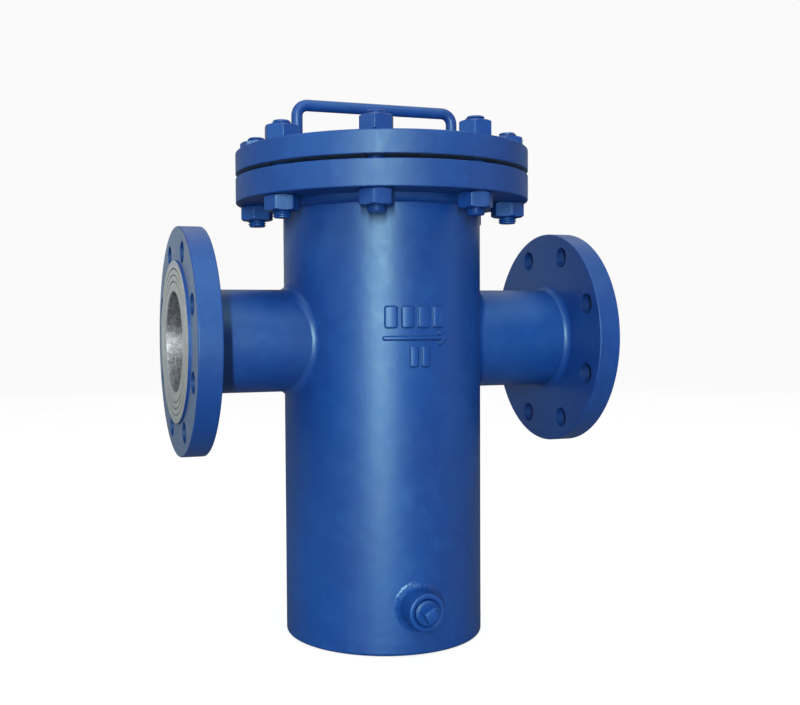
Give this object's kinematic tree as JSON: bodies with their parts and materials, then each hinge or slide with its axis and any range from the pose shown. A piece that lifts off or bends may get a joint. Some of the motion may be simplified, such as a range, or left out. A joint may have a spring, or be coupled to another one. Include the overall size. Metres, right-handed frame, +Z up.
{
  "type": "basket strainer",
  "caption": "Straight-through pipeline basket strainer: flanged vessel with a bolted cover, lift-out perforated basket and a bottom drain plug.",
  "frame": {"origin": "on the vessel's vertical axis, at the underside of the flat bottom", "axes": "+Z up the vessel's axis, +X along the nozzles from inlet to outlet, -Y the front with the drain and the flow arrow"},
  "size_m": [0.376, 0.26, 0.4724],
  "materials": {
    "blue_paint": "semi-gloss enamel with slight orange peel",
    "bare_steel": "machined bare carbon steel",
    "basket_steel": "stainless sheet, dull",
    "wire_mesh": "woven stainless wire",
    "gasket_sheet": "compressed fibre sheet, matte",
    "ptfe_tape": "wrapped tape"
  },
  "bodies": {
    "vessel": {"shell_tube": "blue_paint", "bottom_plate": "blue_paint", "bottom_weld": "blue_paint", "body_flange": "blue_paint", "body_flange_weld": "blue_paint", "body_flange_inner_weld": "blue_paint", "inlet_nozzle": "blue_paint", "outlet_nozzle": "blue_paint", "inlet_flange": "blue_paint", "outlet_flange": "blue_paint", "inlet_flange_weld": "blue_paint", "outlet_flange_weld": "blue_paint", "inlet_bore_weld": "bare_steel", "outlet_bore_weld": "bare_steel", "inlet_saddle_weld": "blue_paint", "outlet_saddle_weld": "blue_paint", "drain_boss": "blue_paint", "drain_boss_weld": "blue_paint", "seat_plate": "bare_steel", "cover_gasket": "gasket_sheet", "stud_bolts": "blue_paint", "lower_nuts": "blue_paint", "flow_arrow": "blue_paint", "size_marks": "blue_paint"},
    "cover": {"cover_plate": "blue_paint", "cover_handle": "blue_paint", "handle_welds": "blue_paint"},
    "upper_nuts": {"upper_nuts": "blue_paint"},
    "basket": {"basket_shell": "basket_steel", "basket_bottom": "basket_steel", "basket_rim": "basket_steel", "basket_band": "basket_steel", "basket_foot_band": "basket_steel", "mesh_liner": "wire_mesh", "basket_handle": "basket_steel"},
    "plug_tape": {"thread_seal_tape": "ptfe_tape"},
    "drain_plug": {"drain_plug": "blue_paint"}
  },
  "joints": [
    {"name": "cover_lift", "type": "slide", "parent": "vessel", "child": "cover", "axis": [0, 0, 1], "range_m": [0, 0.48]},
    {"name": "nuts_unscrew", "type": "slide", "parent": "cover", "child": "upper_nuts", "axis": [0, 0, 1], "range_m": [0, 0.03]},
    {"name": "basket_lift", "type": "slide", "parent": "vessel", "child": "basket", "axis": [0, 0, 1], "range_m": [0, 0.36]},
    {"name": "plug_out", "type": "slide", "parent": "vessel", "child": "plug_tape", "axis": [0, -1, 0], "range_m": [0, 0.0164]},
    {"name": "plug_turn", "type": "hinge", "parent": "plug_tape", "child": "drain_plug", "pos_m": [-0.003, -0.11, 0.0415], "axis": [0, -1, 0], "range_deg": [0, 3240]}
  ],
  "couplings": [
    {"joint": "basket_lift", "follows": "cover_lift", "ratio": 0.75},
    {"joint": "plug_out", "follows": "plug_turn", "m_per_rad": 0.00028871}
  ]
}
